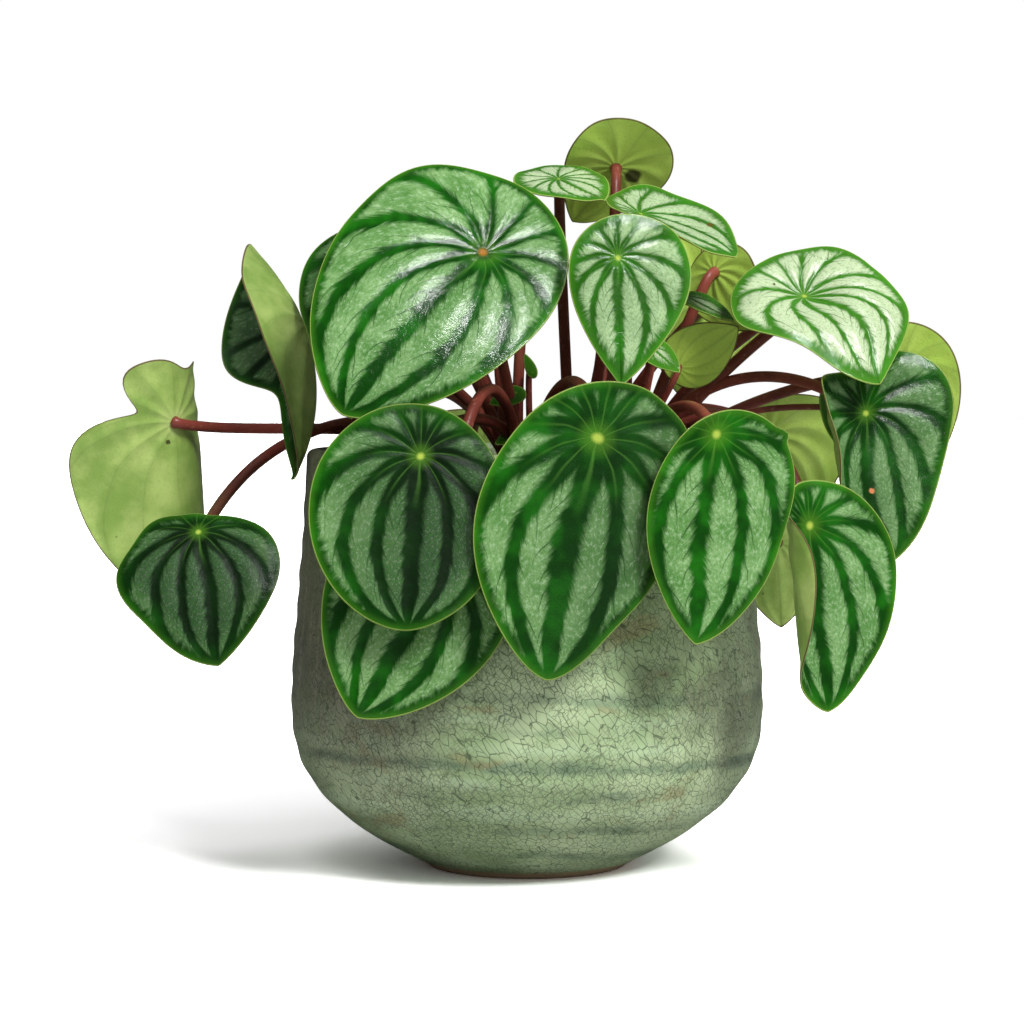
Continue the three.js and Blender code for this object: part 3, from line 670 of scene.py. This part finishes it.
def branch_nodes(sheet, blade, spacing, sweep, width, furthest):
    """Side veins: lines that leave each main vein steeply and bend round towards the tip, each with
    its own place and length, and thin out to nothing. The second value is the soft halo round them."""
    along = (blade.far - blade.off ** 1.6 * sweep) * spacing + sheet.noise(blade.here, 170, 2) * 0.5
    flank_shade = sheet.calc("SIGN", blade.offset) * 0.31
    mark = sheet.vector(sheet.calc("FLOOR", along) + spacing, blade.nearest + flank_shade, blade.side * 2.7)
    place = sheet.chance(mark) * 0.6 + 0.2
    reach = sheet.chance(sheet.move(mark, (5.1, 3.7, 9.2))) * furthest + 0.14
    away = abs(sheet.calc("FRACT", along) - place) / spacing * (blade.from_stem * blade.to_tip)
    taper = sheet.calc("MAXIMUM", 1.0 - blade.off / reach, 0.0)
    share = away / (taper ** 0.5 * width + 1e-5)
    return sheet.span(share, 0.4, 1.2, 1, 0), sheet.span(share, 0.5, 6.0, 1, 0) * taper


def silver_share(sheet, blade, edge, near, halo):
    """Where the silver lies, from 0 to 1. The green bands between have combed edges, and they widen
    towards the stem, the tip and the midrib; the margin stays green with a fringe."""
    patch = sheet.stored("patch")
    comb = sheet.vector(blade.vein * 1.3, (blade.far - blade.off * 1.3) * 15.0, blade.side * 4.0)
    comb = sheet.noise(comb, 1.0, 3, 0.7) - 0.5
    half = sheet.span(blade.vein, 2.4, 5.0, 0.13, 0.06) + patch * 0.09
    half = half + (patch * 0.1 - 0.05) * sheet.span(blade.vein, 0.0, 0.8, 1.0, 0.0)
    half = half + sheet.span(near, 0.04, 0.2, 0.45, 0.0) + sheet.span(blade.to_tip, 0.02, 0.3, 0.2, 0.0)
    half = half * sheet.span(sheet.stored("youth"), 0.0, 1.0, 1.0, 0.6)
    inside = blade.off + comb * 0.22 - half - halo * 0.09
    silver = sheet.span(inside, -0.06, sheet.span(near, 0.08, 0.36, 0.28, 0.1))
    around = sheet.vector(blade.flat_x - 0.3, blade.flat_y, 0.0)
    around = sheet.add("ShaderNodeVectorMath", {0: around}, operation="NORMALIZE")
    spoke = sheet.move(sheet.stretch(around, (26, 26, 26)), sheet.vector(0.0, 0.0, edge * 0.16))
    fringe = sheet.noise(spoke, 1.0, 3, 0.6) - 0.5
    return silver * sheet.span(edge + fringe * 5.0, 1.8, 5.0)


def silver_green(sheet, blade, shade, patch, grain):
    """The pale green under the silver, stroked along the veins, whiter on young leaves, with pale
    glints; painted shade darkens it and dims the glints.
    """
    stroke = sheet.vector(blade.vein * 11.0, blade.far * 12.0, blade.side * 7.0)
    stroke = sheet.noise(stroke, 1.0, 2, 0.75)
    colour = sheet.paint(sheet.span(patch, 0.35, 0.65), tint(86, 130, 68), tint(116, 154, 96))
    colour = sheet.paint(sheet.stored("youth") * 0.8, colour, tint(200, 212, 176))
    # Painted shade darkens the silver.
    colour = sheet.paint(shade * 0.9, colour, tint(28, 52, 30))
    colour = sheet.paint(sheet.span(stroke, 0.48, 0.3, 0, 0.55), colour, tint(58, 108, 42))
    glint = sheet.span(stroke, 0.48, 0.72, 0, 0.42) * (1.0 - shade * 0.7)
    colour = sheet.paint(glint, colour, tint(178, 204, 166))
    return sheet.paint(sheet.span(grain, 0.5, 0.3, 0, 0.3), colour, tint(66, 114, 50))


def band_green(sheet, edge, shade, patch):
    """The deep green of the bands, lighter on young leaves and along the margin; painted shade darkens
    it nearly to black and dims the lighter margin.
    """
    colour = sheet.paint(sheet.span(patch, 0.4, 0.7), tint(8, 58, 3), tint(22, 94, 10))
    colour = sheet.paint(sheet.stored("youth") * 0.6, colour, tint(74, 138, 38))
    # Painted shade darkens the bands.
    colour = sheet.paint(shade * 0.92, colour, tint(9, 24, 8))
    rind = sheet.span(edge, 3.2, 0.2, 0, 0.3) * (1.0 - shade * 0.7)
    return sheet.paint(rind, colour, tint(80, 146, 34))


def blemishes(sheet, colour, ragged, marks):
    """Spots of damage, each with its place on the plant and its reach in millimetres and its stain.
    The soft noise frays their edges."""
    for place, reach, stain in marks:
        centre = [value * MM for value in place]
        away = sheet.add(
            "ShaderNodeVectorMath", {0: sheet.places(), 1: centre}, "Value", operation="DISTANCE")
        spot = sheet.span(away / (reach * MM) + ragged, 1.5, 1.1, 0, 0.9)
        colour = sheet.paint(spot, colour, tint(*stain))
    return colour


def upper_finish(name, gloss):
    """The upper side: dark green bands with feathered edges over the veins and along the margin,
    silver between them, dark side veins, a yellow spot over the stem and a thin pale rim. The leaf's
    painted shade darkens it all, less towards the margin, and on the rusty leaf painted shade darkens
    the hollow round the stem spot."""
    sheet = Sheet(bpy.data.materials.new(name))
    blade = vein_nodes(sheet)
    edge, rust = sheet.stored("edge"), sheet.stored("rust")
    # The painted shade, weaker towards the margin, which stays lighter.
    shade = sheet.stored("shade") * sheet.span(edge, 0.0, 11.0, 0.55, 1.0)
    near = blade.from_stem / (sheet.stored("patch") + 1.0)
    grain = sheet.noise(blade.here, 1500, 2, 0.65)
    patch = sheet.noise(blade.here, 80, 2, 0.55)
    long_vein, long_halo = branch_nodes(sheet, blade, 2.2, 1.9, 0.0078, 0.5)
    short_vein, short_halo = branch_nodes(sheet, blade, 4.6, 1.4, 0.0042, 0.24)
    silver = silver_share(sheet, blade, edge, near, long_halo)
    deep = band_green(sheet, edge, shade, patch)
    colour = sheet.paint(silver, deep, silver_green(sheet, blade, shade, patch, grain))
    halo = sheet.calc("MAXIMUM", long_halo, short_halo * 0.6) * 0.35
    colour = sheet.paint(halo * silver, colour, deep)
    branch = sheet.calc("MAXIMUM", long_vein, short_vein * 0.6) * (silver * 0.8 + 0.2)
    colour = sheet.paint(branch * 0.85, colour, tint(12, 50, 8))
    rays = sheet.span(blade.off, 0.1, 0.0, 0, 0.3) * sheet.span(near, 0.24, 0.03)
    colour = sheet.paint(rays, colour, tint(96, 152, 58))
    colour = sheet.paint(sheet.span(blade.from_stem, 0.1, 0.015, 0, 0.4), colour, tint(88, 142, 34))
    # Painted shade in the hollow over the stem, round the rust spot, on the rusty leaf only.
    hollow_shade = sheet.span(blade.from_stem, 0.06, 0.03, 0, 0.7) * rust
    colour = sheet.paint(hollow_shade, colour, tint(18, 50, 12))
    spot = sheet.paint(rust, tint(166, 186, 74), tint(160, 100, 28))
    colour = sheet.paint(sheet.span(blade.from_stem, 0.03, 0.006, 0, 0.85), colour, spot)
    # The pale rim fades where shade is painted.
    rim = sheet.span(edge, 0.42, 0.1, 0, 0.6) * (1.0 - shade * 0.9)
    colour = sheet.paint(rim, colour, tint(164, 180, 96))
    colour = blemishes(sheet, colour, grain, [
        ((67.8, -26.9, 242.6), 1.6, (84, 66, 24)),
        ((91.8, -25.7, 220.8), 0.7, (60, 56, 26)),
        ((126.3, -44.6, 144.6), 1.3, (196, 122, 76)),
    ])
    pebble = sheet.noise(blade.here, 260, 1) * 2.2 + grain
    rough = shade * 0.24 + 0.13 + grain * 0.1
    return sheet.finish(colour, rough, gloss, sheet.relief(pebble, 0.0001))


def under_finish():
    """The underside: matt pale green, the main veins as faint lines, with a thin maroon rim, darkened
    where shade is painted on the leaf.
    """
    sheet = Sheet(bpy.data.materials.new("leaf underside"))
    blade = vein_nodes(sheet)
    patch = sheet.noise(blade.here, 60, 4, 0.6)
    grain = sheet.noise(blade.here, 1300, 2, 0.6)
    colour = sheet.paint(sheet.span(patch, 0.3, 0.7), tint(130, 162, 74), tint(178, 200, 114))
    colour = sheet.paint(sheet.stored("youth") * 0.8, colour, tint(184, 218, 84))
    colour = sheet.paint(sheet.span(blade.off, 0.25, 0.0, 0, 0.22), colour, tint(112, 148, 66))
    line = blade.off / (blade.to_tip * 0.01 + 0.025)
    colour = sheet.paint(sheet.span(line, 1.0, 0.3, 0, 0.16), colour, tint(106, 110, 60))
    colour = sheet.paint(sheet.span(grain, 0.45, 0.3, 0, 0.3), colour, tint(120, 150, 74))
    # Painted shade.
    colour = sheet.paint(sheet.stored("shade") * 0.45, colour, tint(76, 100, 42))
    speck = sheet.cells(blade.here, 75, "F1")
    colour = sheet.paint(sheet.span(speck, 0.06, 0.03, 0, 0.7), colour, tint(70, 58, 34))
    colour = sheet.paint(sheet.span(blade.from_stem, 0.1, 0.02, 0, 0.6), colour, tint(176, 190, 120))
    colour = sheet.paint(sheet.span(sheet.stored("edge"), 0.5, 0.15, 0, 0.85), colour, tint(84, 48, 40))
    colour = blemishes(sheet, colour, patch, [((40.5, 8.0, 262.6), 4.2, (44, 34, 20))])
    colour = blemishes(sheet, colour, grain, [((-136.5, -5.4, 161.5), 1.2, (56, 50, 24))])
    return sheet.finish(colour, 0.5, 0.35, sheet.relief(grain, 0.0001))


leaf_top, leaf_under = upper_finish("leaf upper side", 0.42), under_finish()
# A less glossy copy of the upper side, for the leaves painted in deep shade.
deep_shade_top = upper_finish("deep shade leaf upper side", 0.16)
for leaf_name, leaf_row in {**LEAVES, **SPROUTS}.items():
    leaf_width = leaf_row[3]
    leaf_rings, leaf_sides = (36, 144) if leaf_width > 50 else (26, 104) if leaf_width > 28 else (18, 72)
    leaf_kind = "sprout_" if leaf_name in SPROUTS else "blade_"
    leaf = blade_solid(leaf_kind + leaf_name, *leaf_row, leaf_rings, leaf_sides)
    if leaf_name in LEAVES:
        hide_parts("leaf_" + leaf_name)
    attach(leaf, "root")
    "young_leaf" if leaf_width < 25 else "leaf"


# The crowns and their stems
# Three short rooted stumps in the soil, each with the leaf stems that grow from it: fleshy, round,
# maroon-brown, a little thicker where they leave the crown and where they meet the blade.
CROWNS = {"left": (0, 2), "right": (36, 0), "back": (18, 26)}
STEM_RADIUS = 2.2
YOUNG_STEM_RADIUS = 1.3
STEM_ROOT = 5
STEM_KNEE = 9.0
STEM_GAP = 0.42
STEM_STATIONS = 44
STEM_SIDES = 14
STUMP_TURNS = 36
STUMP = [
    (0.0, 139.0), (6.5, 139.0), (8.6, 142.0), (8.6, 145.0), (8.2, 147.0), (7.4, 149.0), (5.5, 150.4),
    (2.5, 151.0), (0.0, 151.0),
]


def stem_path(stem_point, tip, face, options, stations):
    """Points along a leaf stem: a smooth curve with five control points, which leaves the crown
    upwards and meets the underside of the blade square."""
    form = {**FLAT_BLADE, **options}
    along, _, out = blade_axes(stem_point, tip, face)
    bend = math.radians(form["bend"])
    under = out * math.cos(bend) - along * math.sin(bend)
    crown = np.array([*CROWNS[form["crown"]], SOIL_TOP])
    start = np.asarray(stem_point, float)
    outward = unit((start - crown) * [1, 1, 0])
    foot = crown + STEM_ROOT * outward
    reach = np.linalg.norm(start - foot)
    first, second = foot + unit(outward * 0.3 + [0, 0, 1]) * 0.4 * reach, start - under * 0.25 * reach
    if form["stem"]:
        first, second = np.array(form["stem"], float)
    controls = [foot, first, second, start - under * STEM_KNEE, start - under * STEM_GAP]
    t = np.linspace(0, 1, stations)[:, None]
    points = [control + 0 * t for control in controls]
    while len(points) > 1:
        points = [(1 - t) * a + t * b for a, b in zip(points, points[1:])]
    return points[0]


def round_tube(path, radius, sides):
    """Points of a closed tube: a circle of the given radii carried along the path, with a point in
    the middle of each end."""
    travel = np.gradient(path, axis=0)
    travel = travel / np.linalg.norm(travel, axis=1, keepdims=True)
    level = unit(np.cross(path[-1] - path[0] + [0.01, 0.02, 0], [0, 0, 1.0]))
    sideways = level - travel * (travel @ level)[:, None]
    sideways = sideways / np.linalg.norm(sideways, axis=1, keepdims=True)
    upward = np.cross(travel, sideways)
    turn = np.linspace(0, 2 * np.pi, sides, endpoint=False)[None, :, None]
    ring = path[:, None] + radius[:, None, None] * (
        sideways[:, None] * np.cos(turn) + upward[:, None] * np.sin(turn))
    return np.vstack([path[:1], ring.reshape(-1, 3), path[-1:]])


def stump_wobble(angle, height):
    """The knobs of old leaf scars round a stump."""
    return 0.5 * np.sin(5 * angle + height) * np.sin(height * 1.3) - 0.4


def stem_finish():
    """Maroon-brown skin, browner in places and with paler flecks, darkest close to the soil."""
    sheet = Sheet(bpy.data.materials.new("leaf stems"))
    here = sheet.places()
    slow = sheet.noise(here, 30, 3)
    fleck = sheet.noise(here, 600, 2, 0.6)
    colour = sheet.paint(sheet.span(slow, 0.35, 0.65), tint(98, 44, 35), tint(140, 66, 56))
    olive = sheet.span(sheet.noise(here, 18, 2), 0.58, 0.72, 0, 0.5)
    colour = sheet.paint(olive, colour, tint(104, 76, 48))
    colour = sheet.paint(sheet.span(fleck, 0.6, 0.72, 0, 0.35), colour, tint(168, 118, 96))
    low = sheet.span(sheet.parts(here)[2], 0.165, 0.145, 0, 0.6)
    colour = sheet.paint(low, colour, tint(52, 34, 26))
    return sheet.finish(colour, 0.36, 0.5, sheet.relief(fleck, 0.00015))


stem_skin = stem_finish()
stump_profile = smooth_profile(STUMP, 30)
for crown_name, (crown_x, crown_y) in CROWNS.items():
    crown_points = turned_points(stump_profile, STUMP_TURNS, stump_wobble) + [crown_x, crown_y, 0]
    crown_faces = ring_faces(crown_points, STUMP_TURNS)
    for leaf_stem, leaf_tip, leaf_face, leaf_width, leaf_options in {**LEAVES, **SPROUTS}.values():
        if leaf_options["crown"] != crown_name:
            continue
        path = stem_path(leaf_stem, leaf_tip, leaf_face, leaf_options, STEM_STATIONS)
        thick = YOUNG_STEM_RADIUS if leaf_width < 25 else STEM_RADIUS
        share = np.linspace(0, 1, STEM_STATIONS)
        swollen = 0.25 * np.exp(-share / 0.05) + 0.22 * np.exp((share - 1) / 0.02)
        tube_points = round_tube(path, thick * (1 - 0.08 * share + swollen), STEM_SIDES)
        offset = len(crown_points)
        crown_points = np.vstack([crown_points, tube_points])
        tube_faces = ring_faces(tube_points, STEM_SIDES)
        crown_faces += [[corner + offset for corner in face] for face in tube_faces]
    crown = mesh_piece("stems_" + crown_name, crown_points, crown_faces, [stem_skin])
    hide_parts("crown_" + crown_name)
    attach(crown, "root")


# The floor and the studio
# A white table top that runs out of sight, lit until it burns out to white, so that only the deep
# part of each shadow shows. The strongest lamp stands to the right of the camera, above its height.
FLOOR_CORNERS = [(-6000, -4000, -0.1), (6000, -4000, -0.1), (6000, 9000, -0.1), (-6000, 9000, -0.1)]


def grey(level):
    """A grey of that brightness; over 1 it is brighter than paper."""
    return (level, level, level, 1.0)


def white_top():
    """Matt white, overexposed as a table top often is in a photograph: the camera gets far more
    light from it than the plant does."""
    sheet = Sheet(bpy.data.materials.new("white table"))
    seen = sheet.add("ShaderNodeLightPath", {}, "Is Camera Ray")
    mirrored = sheet.add("ShaderNodeLightPath", {}, "Is Glossy Ray")
    shown = sheet.paint(mirrored, grey(0.6), grey(0.12))
    return sheet.finish(sheet.paint(seen, shown, grey(1.6)), 0.8, 0.0)


floor = mesh_piece("floor", FLOOR_CORNERS, [(0, 1, 2, 3)], [white_top()])


def look_along(direction):
    """The turn that makes an object's -Z look along a direction with its Y up."""
    return Vector([float(value) for value in direction]).to_track_quat("-Z", "Y").to_euler()


def hang_lamp(name, kind, power, direction):
    """A new lamp that shines along the direction, and the object that holds it."""
    lamp = bpy.data.lights.new(name, kind)
    lamp.energy = power
    holder = bpy.data.objects.new(name, lamp)
    holder.rotation_euler = look_along(direction)
    bpy.context.scene.collection.objects.link(holder)
    return lamp, holder


def soft_lamp(name, place, target, size, power):
    """A square lamp that faces the target and doesn't show in gloss."""
    lamp, holder = hang_lamp(name, "AREA", power, np.subtract(target, place))
    lamp.size = size
    holder.location = place
    holder.visible_glossy = False


def sun_lamp(name, side, height, spread, power, mirrored):
    """A far lamp: side is its angle to the right of the camera and height its angle above the table.
    A mirrored one shows only in gloss, the others only in matt light."""
    side, height = math.radians(side), math.radians(height)
    shine = (-math.sin(side) * math.cos(height), math.cos(side) * math.cos(height), -math.sin(height))
    lamp, holder = hang_lamp(name, "SUN", power, shine)
    lamp.angle = math.radians(spread)
    holder.visible_glossy, holder.visible_diffuse = mirrored, not mirrored


def studio_world():
    """A bright room to the right of the camera and above it, dark to the left and dim in the gloss
    of the leaves; whatever the camera sees past the plant is plain white."""
    world = bpy.data.worlds.new("white studio")
    sheet = Sheet(world)
    way = sheet.add("ShaderNodeTexCoord", {}, "Generated")
    slope = sheet.add(
        "ShaderNodeVectorMath", {0: way, 1: (0.7, -0.25, 0.65)}, "Value", operation="DOT_PRODUCT")
    mirrored = sheet.add("ShaderNodeLightPath", {}, "Is Glossy Ray")
    dimmed = sheet.span(slope, -0.6, 0.9, 0.12, 0.76) * (1.0 - mirrored * 0.9)
    seen = sheet.add("ShaderNodeLightPath", {}, "Is Camera Ray")
    background = sheet.nodes["Background"]
    sheet.feed(background.inputs["Strength"], sheet.calc("MAXIMUM", dimmed, seen))
    sheet.feed(background.inputs["Color"], grey(1))
    bpy.context.scene.world = world


sun_lamp("key lamp", 36, 42, 18, 3.3, False)
sun_lamp("window", 13, 56, 6, 1.8, True)
soft_lamp("top lamp", (-0.25, -0.5, 1.0), (0, 0, 0.16), 0.4, 2.5)
studio_world()
bpy.context.scene.view_settings.view_transform = "Standard"


# The camera
# It looks at the pot from a little above the rim, a bit over a metre away.
EYE = (-0.0057, -1.1, 0.190)
AIM = (-0.0057, 0.0, 0.1346)
camera_data = bpy.data.cameras.new("camera")
camera_data.sensor_width = 36.0
camera_data.lens = 101.25
camera = bpy.data.objects.new("camera", camera_data)
camera.location = EYE
camera.rotation_euler = look_along(np.subtract(AIM, EYE))
bpy.context.scene.collection.objects.link(camera)
bpy.context.scene.camera = camera
